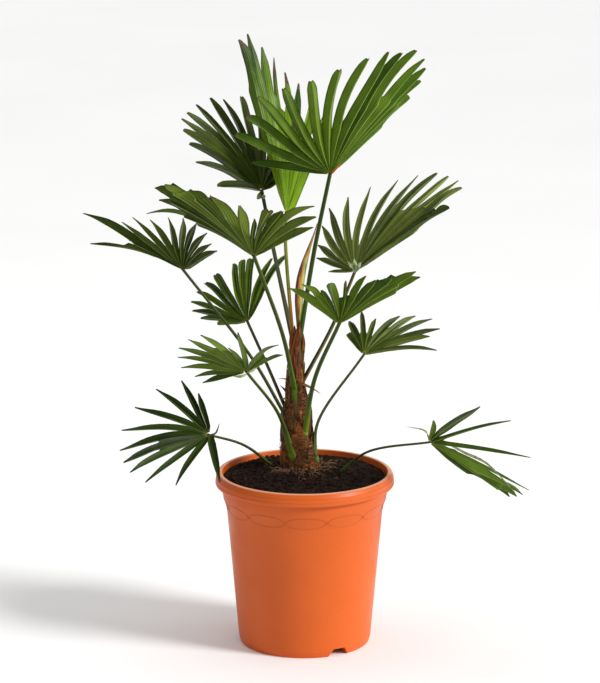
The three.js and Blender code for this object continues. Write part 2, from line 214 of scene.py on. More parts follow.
# A thin sheet between two grids of corners. slotAt gives the front's and the back's material, and
# joined says where a margin runs on into a neighbour and stays open.
def sheetFaces(batch, front, back, slotAt=lambda row, column: (0, 0), joined=lambda row, side: False):
    columns = len(front[0]) - 1
    for k in range(len(front) - 1):
        for j in range(columns):
            frontSlot, backSlot = slotAt(k, j)
            addFace(batch, (front[k][j], front[k][j + 1], front[k + 1][j + 1], front[k + 1][j]), frontSlot)
            addFace(batch, (back[k][j], back[k + 1][j], back[k + 1][j + 1], back[k][j + 1]), backSlot)
        if not joined(k, 0):
            addFace(batch, (front[k][0], front[k + 1][0], back[k + 1][0], back[k][0]))
        if not joined(k, 1):
            addFace(batch, (front[k][-1], back[k][-1], back[k + 1][-1], front[k + 1][-1]))
    for j in range(columns):
        addFace(batch, (front[0][j], back[0][j], back[0][j + 1], front[0][j + 1]))
        addFace(batch, (front[-1][j], front[-1][j + 1], back[-1][j + 1], back[-1][j]))


# A sheet laid over t from 0 to 1 and s from -1 to 1: layAt gives its front, its back and the values
def addSheet(batch, grid, layAt):
    rows, columns = grid
    front, back = [], []
    for k in range(rows + 1):
        front.append([])
        back.append([])
        for j in range(columns + 1):
            frontPlace, backPlace, values = layAt(k / rows, 2 * j / columns - 1)
            front[k].append(addCorner(batch, frontPlace, **values))
            back[k].append(addCorner(batch, backPlace, **values))
    sheetFaces(batch, front, back)


def addPiece(name, batch, materials, nodes=(), smoothAngle=50, weld=0.0):
    mesh = bpy.data.meshes.new(name)
    mesh.from_pydata(batch["corners"], [], batch["faces"])
    for material in materials:
        mesh.materials.append(material)
    mesh.polygons.foreach_set("material_index", batch["slots"])
    for label, given in batch["values"].items():
        mesh.attributes.new(label, "FLOAT", "POINT").data.foreach_set("value", given)
    mesh.update()
    piece = bpy.data.objects.new(name, mesh)
    bpy.context.scene.collection.objects.link(piece)
    pick(piece)
    if weld:
        bpy.ops.object.mode_set(mode="EDIT")
        bpy.ops.mesh.select_all(action="SELECT")
        bpy.ops.mesh.remove_doubles(threshold=weld)
        bpy.ops.object.mode_set(mode="OBJECT")
    bpy.ops.object.shade_smooth_by_angle(angle=math.radians(smoothAngle))
    finishPiece(piece, nodes)


def finishPiece(piece, nodes=()):
    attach(piece, "root")
    if nodes:
        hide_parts(*nodes)
    log(piece.name + " " + str(len(piece.data.polygons)) + " faces")


# Centripetal curve through a few points, the same that the frame's limbs follow
def curveAt(points, t):
    spans = len(points) - 1
    place = min(max(t, 0.0), 1.0) * spans
    i = min(int(place), spans - 1)
    share = place - i
    before = points[i - 1] if i > 0 else points[0] * 2 - points[1]
    after = points[i + 2] if i + 2 <= spans else points[spans] * 2 - points[spans - 1]
    a, b = points[i], points[i + 1]
    steps = [max((q - p).length ** 0.5, 1e-5) for p, q in ((before, a), (a, b), (b, after))]
    startTurn = ((a - before) / steps[0] - (b - before) / (steps[0] + steps[1]) + (b - a) / steps[1]) * steps[1]
    endTurn = ((b - a) / steps[1] - (after - a) / (steps[1] + steps[2]) + (after - b) / steps[2]) * steps[1]
    square, cube = share * share, share * share * share
    return (a * (2 * cube - 3 * square + 1) + b * (3 * square - 2 * cube)
            + startTurn * (cube - 2 * square + share) + endTurn * (cube - square))


# A limb: rings of a section laid square to a curve, closed at both ends
def addLimb(batch, points, sizeAt, across, section, steps, slot=0, **values):
    rings = []
    for k in range(steps + 1):
        t = k / steps
        centre = curveAt(points, t)
        along = (curveAt(points, min(t + 0.01, 1)) - curveAt(points, max(t - 0.01, 0))).normalized()
        side = (across - along * across.dot(along)).normalized()
        up = along.cross(side)
        width, depth = sizeAt(t)
        ring = []
        for x, y in section:
            corner = centre + side * (x * width) + up * (y * depth)
            ring.append(addCorner(batch, corner, along=t, around=x, **values))
        rings.append(ring)
    ringFaces(batch, rings, slot)
    addFace(batch, tuple(reversed(rings[0])), slot)
    addFace(batch, tuple(rings[-1]), slot)


def roundSection(count):
    return [(math.cos(a), math.sin(a)) for a in turnsOf(count)]


# A round limb's half width, which loses the given share towards its end
def taper(half, loss):
    return lambda t: (half * (1 - loss * t), half * (1 - loss * t))


# Camera, floor and light
def makeStage():
    tilt = math.radians(stage["elevation"])
    back = Vector((0, -math.cos(tilt), math.sin(tilt)))
    bpy.ops.object.camera_add(location=Vector(stage["aim"]) + back * stage["distance"],
                              rotation=(math.pi / 2 - tilt, 0, 0))
    camera = bpy.context.object
    camera.data.lens = stage["lens"]
    camera.data.sensor_width = stage["film"]
    camera.data.clip_end = stage["farEnd"]
    bpy.context.scene.camera = camera

    bpy.ops.mesh.primitive_plane_add(size=2 * stage["floorHalf"], location=(0, 0, -stage["floorDrop"]))
    floor = bpy.context.object
    floor.name = "floor"
    chalk, tree = startMaterial("floorPaint", Roughness=0.85)
    low, high = stage["floorTones"]
    floor.data.materials.append(paint(chalk, rampOf(tree, objectNoise(tree, 1.5), (0.3, *low), (0.7, *high))))

    world = bpy.data.worlds.new("softStudio")
    bpy.context.scene.world = world
    world.use_nodes = True
    sky = world.node_tree.nodes["Background"]
    sky.inputs["Color"].default_value = (1, 1, 1, 1)
    sky.inputs["Strength"].default_value = stage["skyStrength"]

    for name, kind, place, breadth, power in stage["lamps"]:
        bpy.ops.object.light_add(type=kind, location=place)
        lamp = bpy.context.object
        lamp.name = name
        lamp.data.energy = power
        if kind == "SUN":
            lamp.data.angle = breadth
        else:
            lamp.data.size = breadth
        lamp.rotation_euler = (Vector(stage["aim"]) - Vector(place)).to_track_quat("-Z", "Y").to_euler()
    bpy.context.scene.view_settings.view_transform = "Standard"
    log("stage ready")


makeStage()

# Pot: radii and heights of the frame's pot, in millimetres, with the finer roundings
pot = {
    "height": 258, "footRadius": 96, "ringWidth": 12, "recess": 12, "bossRadius": 42,
    "cornerHeight": 10, "bodyFoot": 98, "bodyTop": 115, "bodyTopHeight": 203,
    "collar": 121.5, "collarHeight": 226, "bandFoot": 238.5, "band": 131.7, "bandRound": 3.5,
    "lip": 126.5, "mouth": 122, "wall": 3, "grooves": (244.6, 251.0), "grooveDepth": 0.55,
    "sides": 192, "notchTurn": -59, "notchFoot": 35, "notchTop": 19, "notchHeight": 11.4,
    "links": 12, "firstLink": -89, "linkWidth": 58, "linkHeight": 17, "linkLevel": 211,
    "linkRidge": 0.5, "linkSteps": 72, "linkSides": 6, "knotSize": 1.2, "soilLevel": 252,
    "lipHighlight": (256.8, 257.7), "shadeAngle": 28,
}


def bodyRadius(height):
    if height <= pot["bodyTopHeight"]:
        share = (height - pot["cornerHeight"]) / (pot["bodyTopHeight"] - pot["cornerHeight"])
        return mix(pot["bodyFoot"], pot["bodyTop"], share)
    share = (height - pot["bodyTopHeight"]) / (pot["collarHeight"] - pot["bodyTopHeight"])
    return mix(pot["bodyTop"], pot["collar"], min(1, share))


def arc(centre, radius, start, end, count):
    turns = [math.radians(mix(start, end, i / count)) for i in range(count + 1)]
    return [(centre[0] + radius * math.cos(a), centre[1] + radius * math.sin(a)) for a in turns]


def potProfile():
    p = pot
    inside = p["footRadius"] - p["ringWidth"]
    profile = [(p["bossRadius"], 0), (p["bossRadius"] + 1.5, p["recess"]), (inside - 1.5, p["recess"])]
    profile += [(inside, 0.8), (inside + 0.8, 0)]
    profile += arc((p["footRadius"] - 1.5, 1.5), 1.5, -90, -8, 4)
    profile += arc((p["bodyFoot"] - 3, p["cornerHeight"] - 1), 3, -30, 5, 4)
    profile += [(bodyRadius(h), h) for h in (16, 60, 110, 160, 198)]
    profile += [(bodyRadius(p["bodyTopHeight"]) + 0.15, p["bodyTopHeight"])]
    profile += [(bodyRadius(h), h) for h in (208, 215, 222)]
    profile += [(p["collar"], p["collarHeight"] + 1), (p["collar"] + 0.3, p["bandFoot"] - 0.6)]
    profile += [(p["band"] - p["bandRound"], p["bandFoot"])]
    profile += arc((p["band"] - p["bandRound"], p["bandFoot"] + p["bandRound"]), p["bandRound"], -85, 0, 5)
    for groove in p["grooves"]:
        fall = (groove - p["grooves"][0]) * 0.12
        edge = p["band"] - fall
        profile += [(edge, groove - 0.7), (edge - p["grooveDepth"], groove), (edge - 0.1, groove + 0.7)]
    profile += arc((p["lip"] - 1.2, p["height"] - 4.2), 4.2, 10, 90, 6)
    profile += [(p["mouth"] + 0.9, p["height"]), (p["mouth"] + 0.2, p["height"] - 0.4)]
    profile += [(p["mouth"], p["height"] - 1.2), (p["collar"] - p["wall"], p["collarHeight"])]
    profile += [(p["bodyTop"] - p["wall"], p["bodyTopHeight"])]
    profile += [(p["bodyFoot"] - p["wall"], p["recess"] + p["wall"] + 4)]
    profile += [(p["bodyFoot"] - p["wall"] - 4, p["recess"] + p["wall"])]
    return [(r * mm, h * mm) for r, h in profile]


def turnedPiece(name, profile, sides):
    clearSelection()
    radius, height = profile[0]
    bpy.ops.mesh.primitive_circle_add(vertices=sides, radius=radius, fill_type="NGON", location=(0, 0, height))
    piece = bpy.context.object
    piece.name = name
    bpy.ops.object.mode_set(mode="EDIT")
    bpy.ops.mesh.select_all(action="SELECT")
    for nextRadius, nextHeight in profile[1:]:
        bpy.ops.mesh.extrude_region_move(TRANSFORM_OT_translate={"value": (0, 0, nextHeight - height)})
        scale = nextRadius / radius
        bpy.ops.transform.resize(value=(scale, scale, 1), center_override=(0, 0, nextHeight))
        radius, height = nextRadius, nextHeight
    bpy.ops.mesh.select_all(action="SELECT")
    bpy.ops.mesh.normals_make_consistent(inside=False)
    bpy.ops.object.mode_set(mode="OBJECT")
    bpy.ops.object.transform_apply(location=True, rotation=True, scale=True)
    return piece


def cutNotches(piece):
    for i in range(3):
        clearSelection()
        bpy.ops.mesh.primitive_cube_add(size=1, location=(0, 0, 0))
        cutter = bpy.context.object
        middle = (pot["footRadius"] - pot["ringWidth"] / 2) * mm
        turn = math.radians(pot["notchTurn"] + 120 * i)
        for corner in cutter.data.vertices:
            top = corner.co.z > 0
            width = pot["notchTop"] if top else pot["notchFoot"]
            corner.co.x *= 0.03
            corner.co.y *= width * mm
            corner.co.z = (pot["notchHeight"] if top else -2) * mm
            corner.co.x += middle
            corner.co = Matrix.Rotation(turn, 3, "Z") @ corner.co
        pick(piece)
        cut = piece.modifiers.new("notch", "BOOLEAN")
        cut.operation = "DIFFERENCE"
        cut.solver = "EXACT"
        cut.object = cutter
        bpy.ops.object.modifier_apply(modifier=cut.name)
        bpy.data.objects.remove(cutter)


def potPlastic(name, shade):
    material, tree = startMaterial(name, Roughness=0.42, Specular_IOR_Level=0.28)

    def stop(position, *colour):
        return (position, *[c * shade for c in colour])

    cloudy = rampOf(tree, objectNoise(tree, 9, 3), stop(0.3, 199, 86, 22), stop(0.7, 209, 94, 27))
    specks = rampOf(tree, objectNoise(tree, 420, 2), stop(0.35, 193, 82, 20), stop(0.65, 205, 91, 26))
    place = addNode(tree, "ShaderNodeTexCoord")
    level = addNode(tree, "ShaderNodeSeparateXYZ", {"Vector": place.outputs["Object"]}).outputs["Z"]
    # the edge of the lip is painted pale: a painted highlight where light catches its sharp edge
    low, high = pot["lipHighlight"]
    lipHighlight = ranged(tree, level, low * mm, high * mm, 0.0, 0.5)
    skin = mixColour(tree, lipHighlight, mixColour(tree, 0.3, cloudy, specks), linear(248, 200, 168))
    worn = ranged(tree, objectNoise(tree, 30, 5), 0.3, 0.7, 0.36, 0.52)
    return paint(material, skin, objectNoise(tree, 900, 2), 0.00006, 0.6, worn)


plastic = potPlastic("orangePlastic", 1)
# a darker copy of the plastic for the chain's thin ridges: painted shade standing in for their shadow lines
paintedShadePlastic = potPlastic("orangePlasticChainShade", 0.9)


def makePot():
    shell = turnedPiece("pot_shell", potProfile(), pot["sides"])
    cutNotches(shell)
    shell.data.materials.append(plastic)
    pick(shell)
    bpy.ops.object.shade_smooth_by_angle(angle=math.radians(pot["shadeAngle"]))
    finishPiece(shell, ["pot"])

    chain = newBatch()
    for i in range(pot["links"]):
        middle = math.radians(pot["firstLink"] + 360 * i / pot["links"])
        rings = []
        for a in turnsOf(pot["linkSteps"]):
            height = pot["linkLevel"] + pot["linkHeight"] / 2 * math.sin(a)
            reach = pot["linkWidth"] / 2 * math.copysign(abs(math.cos(a)) ** 0.9, math.cos(a))
            radius = bodyRadius(height)
            turn = middle + reach / radius
            out = polar(1, turn)
            flow = Vector((-out.y, out.x, 0)) * (-math.sin(a) * pot["linkWidth"])
            flow.z = math.cos(a) * pot["linkHeight"]
            sideways = flow.normalized().cross(out)
            centre = polar(radius, turn, height)
            ring = []
            for b in turnsOf(pot["linkSides"]):
                away = (out * math.cos(b) + sideways * (1.25 * math.sin(b))) * pot["linkRidge"]
                ring.append(addCorner(chain, (centre + away) * mm))
            rings.append(ring)
        ringFaces(chain, rings + rings[:1])
        # a small raised knot where two links meet
        meet = middle + math.pi / pot["links"]
        radius, height = bodyRadius(pot["linkLevel"]), pot["linkLevel"]
        ends = [polar(radius + step, meet, height) * mm for step in (-0.5, pot["knotSize"] * 0.8)]
        addLimb(chain, ends, taper(pot["knotSize"] * mm, 0.35), Vector((0, 0, 1)), roundSection(10), 3)
    addPiece("pot_chain", chain, [paintedShadePlastic], smoothAngle=60)


makePot()

# Trunk: height, centre and radius in millimetres, as in the frame
trunkRings = [
    (259.3, -6, 25, 29.5), (270, -7, 25, 27), (304, -11, 23, 23.5), (337, -12.5, 22, 21),
    (360, -12, 21, 16), (385, -14, 20, 12.5), (422, -13, 18, 10.5), (458, -11, 16, 8.5),
]


def trunkAt(height):
    below = [i for i, ring in enumerate(trunkRings) if ring[0] <= height]
    i = min(below[-1] if below else 0, len(trunkRings) - 2)
    low, high = trunkRings[i], trunkRings[i + 1]
    t = (height - low[0]) / (high[0] - low[0])
    return blend(low[1:], high[1:], t)


soil = {
    "heapLevel": 259, "heapSeat": 46, "heapReach": 96, "bedFoot": 226, "turns": 200, "rims": 66,
    "lump": 1.5, "grain": 0.9, "rimDrop": 1.5, "trunkLevel": 260, "crumbs": 2600, "fibres": 150,
    "crumbSizes": (0.5, 0.7, 0.9, 1.1, 1.4, 1.9, 2.6), "crumbSquash": (0.45, 0.8),
    "fibreLength": (7, 26), "fibreHalf": (0.2, 0.5), "fibreLift": (0.2, 2.4, 1.9, 0.1),
}


def soilHeight(x, y):
    away = math.hypot(x - trunkRings[0][1], y - trunkRings[0][2])
    heap = 1 - smooth(soil["heapSeat"], soil["heapReach"], away)
    return mix(pot["soilLevel"], soil["heapLevel"], heap)


def soilMaterial():
    material, tree = startMaterial("darkCompost", Roughness=0.95, Specular_IOR_Level=0.1)
    fine = objectNoise(tree, 260, 6, rough=0.7)
    earth = rampOf(tree, fine, (0.3, 16, 9, 7), (0.5, 32, 20, 15), (0.66, 62, 41, 29), (0.76, 112, 82, 58))
    return paint(material, earth, objectNoise(tree, 620, 5, rough=0.7), 0.0014)


def fibreMaterial(name, dark, light):
    material, tree = startMaterial(name, Roughness=0.8)
    tone = weighted(tree, (attribute(tree, "shade"), 0.7), (objectNoise(tree, 500, 4), 0.3))
    tone = rampOf(tree, tone, (0.1, *dark), (0.9, *light))
    return paint(material, tone, objectNoise(tree, 1400, 3, (1, 1, 0.2)), 0.0002)


compostEarth = soilMaterial()
rootFibre = fibreMaterial("tanFibre", (66, 44, 26), (158, 120, 80))


def makeSoil():
    bed = newBatch()
    turns, rims = soil["turns"], soil["rims"]
    outer = pot["collar"] - pot["wall"] - 0.6
    centre = addCorner(bed, Vector((0, 0, soilHeight(0, 0))) * mm)
    rings = []
    for k in range(1, rims + 1):
        radius = outer * k / rims
        ring = []
        for a in turnsOf(turns):
            x, y = radius * math.cos(a), radius * math.sin(a)
            height = soilHeight(x, y) - soil["rimDrop"] * smooth(0.86, 1, k / rims)
            height += soil["lump"] * noise.fractal(Vector((x / 16, y / 16, 3)), 1.0, 2.0, 4)
            height += soil["grain"] * noise.fractal(Vector((x / 3, y / 3, 8)), 1.0, 2.0, 3)
            ring.append(addCorner(bed, Vector((x, y, height)) * mm))
        rings.append(ring)
    foot = [addCorner(bed, (*bed["corners"][c][:2], soil["bedFoot"] * mm)) for c in rings[-1]]
    rings.append(foot)
    for j in range(turns):
        addFace(bed, (centre, rings[0][j], rings[0][(j + 1) % turns]))
    ringFaces(bed, rings[::-1])
    addFace(bed, tuple(reversed(foot)))
    addPiece("compost_bed", bed, [compostEarth], ["compost"])

    crumbs = newBatch()
    trunkX, trunkY, trunkRadius = trunkAt(soil["trunkLevel"])
    for _ in range(soil["crumbs"]):
        a = random.uniform(0, 2 * math.pi)
        radius = (outer - 4) * math.sqrt(random.random())
        x, y = radius * math.cos(a), radius * math.sin(a)
        if math.hypot(x - trunkX, y - trunkY) < trunkRadius:
            continue
        size = random.choice(soil["crumbSizes"])
        squash = random.uniform(*soil["crumbSquash"])
        addLump(crumbs, Vector((x, y, soilHeight(x, y) + 0.3 * size)), size, squash)
    addPiece("compost_crumbs", crumbs, [compostEarth], smoothAngle=40)

    roots = newBatch("shade", "along", "around")
    for _ in range(soil["fibres"]):
        a = random.uniform(-math.pi, math.pi)
        near = trunkRadius + random.uniform(-1, 16) * (1 if random.random() < 0.8 else 3)
        x, y = trunkX + near * math.cos(a), trunkY + near * math.sin(a)
        turn = a + random.uniform(-1.4, 1.4)
        length = random.uniform(*soil["fibreLength"])
        points = []
        for k in range(4):
            bend = Vector((random.uniform(-2, 2), random.uniform(-2, 2), 0))
            spot = Vector((x, y, 0)) + polar(length * k / 3, turn) + bend
            if spot.xy.length > outer - 3:
                spot = spot * ((outer - 3) / spot.xy.length)
            spot.z = soilHeight(spot.x, spot.y) + soil["fibreLift"][k] * random.uniform(0.6, 1.2)
            points.append(spot * mm)
        thick = random.uniform(*soil["fibreHalf"]) * mm
        addLimb(roots, points, taper(thick, 0.6), Vector((0.3, 0.2, 1)), roundSection(4), 7,
                shade=random.random())
    addPiece("root_fibres", roots, [rootFibre], smoothAngle=60)


lumpShape = [(1, 0, 0), (-1, 0, 0), (0, 1, 0), (0, -1, 0), (0, 0, 1), (0, 0, -1),
             (0.6, 0.6, 0.6), (-0.6, 0.6, 0.6), (-0.6, -0.6, 0.6), (0.6, -0.6, 0.6)]
lumpFaces = [(6, 4, 9, 0), (7, 4, 6, 2), (8, 4, 7, 1), (9, 4, 8, 3), (6, 0, 2), (7, 2, 1), (8, 1, 3), (9, 3, 0),
             (0, 5, 2), (2, 5, 1), (1, 5, 3), (3, 5, 0)]


def addLump(batch, centre, size, squash):
    turn = Matrix.Rotation(random.uniform(0, 6.28), 3, "Z")
    corners = []
    for x, y, z in lumpShape:
        jitter = random.uniform(0.75, 1.25) * size
        corner = centre + turn @ Vector((x * jitter, y * jitter * 0.8, z * jitter * squash))
        corners.append(addCorner(batch, corner * mm))
    for face in lumpFaces:
        addFace(batch, tuple(corners[k] for k in face))


makeSoil()


# Trunk: woven sheath fibre over a tapered core, with pointed sheath ends and loose hairs
def trunkMaterial():
    material, tree = startMaterial("wovenSheath", Roughness=0.85, Specular_IOR_Level=0.12)
    upright = objectNoise(tree, 210, 5, (1, 1, 0.16), 0.65)
    level = objectNoise(tree, 260, 5, (0.35, 0.35, 1.5), 0.65)
    patches = ranged(tree, objectNoise(tree, 36, 3), 0.42, 0.6)
    strands = addNode(tree, "ShaderNodeMix", {0: patches, 2: upright, 3: level}).outputs[0]
    warm = rampOf(tree, strands, (0.32, 24, 12, 6), (0.46, 84, 46, 18), (0.57, 126, 76, 34),
                  (0.69, 172, 130, 78))
    old = rampOf(tree, strands, (0.32, 22, 15, 8), (0.5, 78, 48, 28), (0.62, 122, 84, 54),
                 (0.72, 172, 146, 96))
    blotches = ranged(tree, objectNoise(tree, 30, 4), 0.45, 0.6)
    return paint(material, mixColour(tree, blotches, warm, old), strands, 0.003)


def sheathMaterial():
    material, tree = startMaterial("rustySheath", Roughness=0.75, Specular_IOR_Level=0.15)
    streaks = objectNoise(tree, 300, 4, (1, 1, 0.1), 0.6)
    skin = rampOf(tree, streaks, (0.34, 34, 17, 9), (0.5, 84, 42, 20), (0.68, 142, 86, 42))
    edge = ranged(tree, attribute(tree, "across"), -1.0, -0.4, 0.75, 0.0)
    return paint(material, mixColour(tree, edge, skin, linear(176, 96, 34)), streaks, 0.001)


trunk = {
    "turns": 144, "levels": 190, "weave": 0.275, "weaveTurns": 17, "weaveRise": 1.1, "strand": 1.3,
    "stepDepth": 1.6, "stepHeight": 11, "narrow": 0.42, "narrowFrom": 436, "narrowTo": 486,
    "flapGrid": (14, 12), "flapTop": 480, "flapHalf": 0.35, "flapLift": 0.7, "flapRough": 0.45,
    "flapRagged": 0.8, "flapPoint": 0.92, "tongueGrid": (22, 8), "tongueThick": 0.7, "gutter": 0.77,
    "hairs": 1700, "hairLength": (6, 22), "hairSlant": 1.6, "hairHalf": (0.13, 0.36),
    "hairLift": (0.3, 1.8), "strayShare": 0.07, "strayTimes": 3.5,
    "flaps": [
        # height of the foot, turn in degrees, height, half width in degrees, lean out
        (268, -120, 42, 46, 3.0), (276, -20, 46, 44, 3.0), (284, 70, 44, 46, 3.0), (292, -80, 46, 40, 2.6),
        (302, 160, 46, 44, 2.8), (312, -10, 46, 40, 2.4), (322, -120, 44, 40, 2.4), (334, 60, 44, 42, 2.4),
        (344, -60, 44, 40, 2.2), (356, 150, 42, 46, 2.2), (366, -130, 42, 42, 2.0), (376, 10, 42, 44, 2.0),
        (388, -70, 44, 44, 1.8), (402, 110, 44, 48, 1.8), (412, -150, 44, 44, 1.6), (424, -30, 46, 46, 1.6),
        (436, -100, 44, 46, 1.4), (446, 60, 36, 50, 1.2),
    ],
    "tongues": [
        # middle line from the foot to the point, half widths at the foot, below the middle and at the point
        (((-13, 6, 398), (-14, 0, 432), (-9.5, -5, 465), (-8, -7, 489)), (8, 6.2, 0.3)),
        (((-15, 12, 424), (-19, 6, 448), (-20, 3, 470)), (5, 4.5, 0.3)),
        (((-6, 11, 426), (-3, 7, 448), (-3, 6, 468)), (5, 4, 0.3)),
        (((-12, 26, 430), (-14, 27, 450), (-15, 27, 472)), (6, 5, 0.3)),
    ],
    "stubs": [
        # foot, point, half width at the foot
        ((-20, 17, 390), (-40, 10, 396), 2.2), ((-23, 16, 368), (-36, 15, 384), 4.2),
        ((-24, 12, 362), (-36, 7, 366), 3.2), ((-3, 15, 386), (23, 10, 373), 3.4),
        ((-2, 30, 352), (10, 50, 368), 3.0), ((-14, 27, 396), (-18, 40, 416), 2.4),
        ((-8, 14, 446), (-7, 9, 478), 3.2), ((-15, 19, 440), (-19, 20, 468), 2.8),
    ],
}


def trunkPoint(height, turn, lift):
    x, y, radius = trunkAt(height)
    swell = 1 + 0.05 * math.sin(3 * turn + height / 17)
    narrow = trunk["narrow"] * smooth(trunk["narrowFrom"], trunk["narrowTo"], height)
    reach = (radius * swell + lift) * (1 - narrow)
    return Vector((x + reach * math.cos(turn), y + reach * math.sin(turn), height)) * mm


def makeTrunk():
    fibre = trunkMaterial()
    edgeFibre = fibreMaterial("darkHair", (40, 22, 10), (168, 118, 62))
    core = newBatch()
    levels = trunk["levels"]
    low, high = trunkRings[0][0], trunkRings[-1][0]
    rings = []
    for k in range(levels + 1):
        height = mix(low, high, k / levels)
        ring = []
        for a in turnsOf(trunk["turns"]):
            over, rise = trunk["weaveTurns"] * a, trunk["weaveRise"] * height
            weave = math.sin(over + rise) + math.sin(over - rise)
            strands = noise.fractal(Vector((math.cos(a) * 9, math.sin(a) * 9, height / 16)), 1.0, 2.0, 4)
            step = ((height - low) / trunk["stepHeight"] + 1.6 * math.sin(a + height / 40)) % 1.0
            lift = trunk["weave"] * weave + trunk["strand"] * strands - trunk["stepDepth"] * step
            ring.append(addCorner(core, trunkPoint(height, a, lift)))
        rings.append(ring)
    ringFaces(core, rings)
    addFace(core, tuple(reversed(rings[0])))
    addFace(core, tuple(rings[-1]))
    addPiece("trunk_core", core, [fibre], ["trunk"], 70)

    flaps = newBatch()
    for foot, turn, tall, half, lean in trunk["flaps"]:
        addFlap(flaps, foot, math.radians(turn), tall, math.radians(half), lean)
    addPiece("trunk_sheaths", flaps, [fibre])

    # the newest sheaths stand free of the trunk and end in points
    tongues = newBatch("across")
    for line, halves in trunk["tongues"]:
        addTongue(tongues, line, halves)
    addPiece("trunk_tips", tongues, [sheathMaterial()])

    hairs = newBatch("shade", "along", "around")
    for foot, point, half in trunk["stubs"]:
        a, b = metres((foot, point))
        middle = (a + b) / 2 + Vector((0, 0, 1.5 * mm))

        def stubSize(t):
            return half * mm * (1 - 0.9 * t), half * mm * 0.6 * (1 - 0.85 * t)

        addLimb(hairs, [a, middle, b], stubSize, Vector((0.2, 1, 0.3)), roundSection(8), 8,
                shade=random.uniform(0.2, 0.7))
    for _ in range(trunk["hairs"]):
        height = random.uniform(low, high - 6)
        a = random.uniform(0, 2 * math.pi)
        length = random.uniform(*trunk["hairLength"])
        slant = random.uniform(-trunk["hairSlant"], trunk["hairSlant"])
        out = random.uniform(*trunk["hairLift"])
        out *= trunk["strayTimes"] if random.random() < trunk["strayShare"] else 1
        points = []
        for k in range(4):
            level = min(height + length * k / 3, high + 14)
            points.append(trunkPoint(level, a + slant * length / 40 * k / 3, (0.2, 1.1, 1.5, out)[k]))
        thick = random.uniform(*trunk["hairHalf"]) * mm
        addLimb(hairs, points, taper(thick, 0.5), Vector((0.4, 1, 0.1)), roundSection(3), 6,
                shade=random.random())
    addPiece("trunk_fibres", hairs, [edgeFibre], smoothAngle=60)


# One old sheath: a curved tongue that wraps part of the trunk and ends in a ragged point
def addFlap(batch, foot, turn, tall, half, lean):
    def layAt(t, s):
        ragged = trunk["flapRagged"] * noise.noise(Vector((foot + s * 5, t * 6, turn)))
        height = min(foot + tall * t * (1 - 0.18 * s * s) + ragged, trunk["flapTop"])
        lift = trunk["flapLift"] + lean * t * t
        lift += trunk["flapRough"] * noise.noise(Vector((s * 7, t * 2, foot)))
        a = turn + s * half * (1 - trunk["flapPoint"] * t ** 1.7)
        thick = trunk["flapHalf"]
        return trunkPoint(height, a, lift + thick), trunkPoint(height, a, lift - thick), {}

    addSheet(batch, trunk["flapGrid"], layAt)


# A free standing pointed sheath: a gutter of fibre, open behind, that narrows to its tip
def addTongue(batch, line, halves):
    points = [Vector(p) for p in line]

    def layAt(t, s):
        if t < 0.45:
            half = mix(halves[0], halves[1], t / 0.45)
        else:
            half = mix(halves[1], halves[2], ((t - 0.45) / 0.55) ** 1.3)
        rough = 0.5 * noise.noise(Vector((s * 6, t * 9, line[0][0])))
        place = curveAt(points, t) + Vector((s * half, trunk["gutter"] * half * s * s + rough, rough * 2))
        return place * mm, (place + Vector((0, trunk["tongueThick"], 0))) * mm, {"across": s}

    addSheet(batch, trunk["tongueGrid"], layAt)


makeTrunk()

